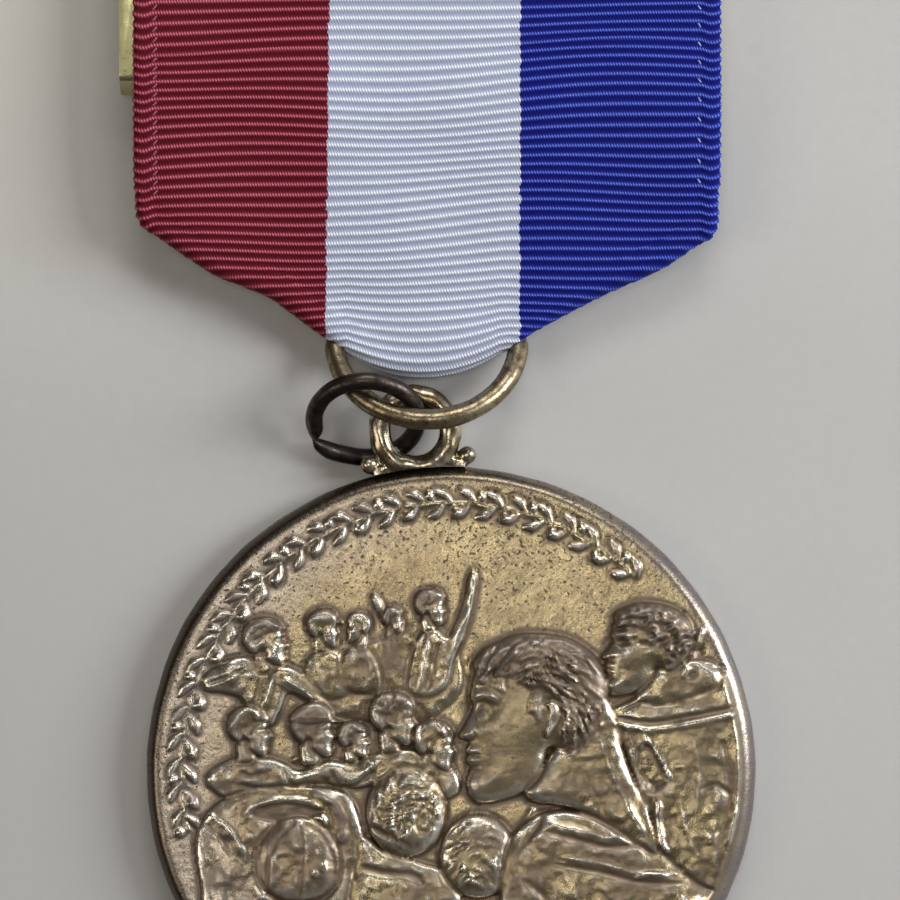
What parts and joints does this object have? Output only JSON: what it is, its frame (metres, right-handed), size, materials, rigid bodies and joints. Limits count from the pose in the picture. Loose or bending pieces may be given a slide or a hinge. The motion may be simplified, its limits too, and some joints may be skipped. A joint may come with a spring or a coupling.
{
  "type": "medal with ribbon and pin-back bar",
  "caption": "Struck commemorative medal on a jump ring and ribbon ring, hung from a folded striped ribbon on a slotted brooch bar with a locking pin.",
  "frame": {"origin": "middle of the medal's outline, on the surface that it lies on", "axes": "+X to the wearer's left as the face is seen, +Y from the disc towards the brooch bar, +Z out of the struck face"},
  "size_m": [0.0378, 0.0718, 0.0053],
  "materials": {
    "ribbon": "ribbed grosgrain in three woven stripes",
    "thread": "spun sewing thread",
    "plate_brass": "dull lacquered brass",
    "fitting_nickel": "worn nickel plate",
    "ring_antique": "antique brass worn bright on top",
    "ring_dark": "dark oxidised wire",
    "eyelet_silver": "worn silvery casting",
    "medal_bronze": "struck bronze with uneven dark patina and bright high points"
  },
  "bodies": {
    "brooch": {"brooch_plate": "plate_brass", "hinge_bracket": "plate_brass", "hinge_rivet": "fitting_nickel", "catch_body": "plate_brass", "ribbon_heading": "ribbon"},
    "pin": {"pin_stem": "fitting_nickel"},
    "lock": {"catch_lock": "fitting_nickel"},
    "ribbon": {"ribbon_drape": "ribbon", "ribbon_seam": "thread"},
    "ribbon_ring": {"ribbon_ring": "ring_antique"},
    "jump_ring": {"jump_ring": "ring_dark"},
    "medal": {"suspension_eyelet": "eyelet_silver", "medal_disc": "medal_bronze"}
  },
  "joints": [
    {"name": "pin_swing", "type": "hinge", "parent": "brooch", "child": "pin", "pos_m": [0.01182, 0.02895, 0.00135], "axis": [0, -1, 0], "range_deg": [0, 90]},
    {"name": "lock_turn", "type": "hinge", "parent": "brooch", "child": "lock", "pos_m": [-0.01319, 0.02895, 0.00135], "axis": [-1, 0, 0], "range_deg": [0, 100]},
    {"name": "ribbon_flex", "type": "hinge", "parent": "brooch", "child": "ribbon", "pos_m": [-0.00065, 0.0214, 0.0041], "axis": [-1, 0, 0], "range_deg": [-45, 45]},
    {"name": "ring_swing", "type": "hinge", "parent": "ribbon", "child": "ribbon_ring", "pos_m": [-0.00068, 0.0083, 0.0013], "axis": [-1, 0, 0], "range_deg": [-75, 70]},
    {"name": "jump_ring_swing", "type": "hinge", "parent": "ribbon_ring", "child": "jump_ring", "pos_m": [-0.00432, 0.00446, 0.00375], "axis": [0.7494, -0.5581, 0.3563], "range_deg": [-60, 10]},
    {"name": "medal_swing", "type": "hinge", "parent": "jump_ring", "child": "medal", "pos_m": [-0.00133, 0.00275, 0.00206], "axis": [-1, 0, 0], "range_deg": [-3, 60]}
  ]
}
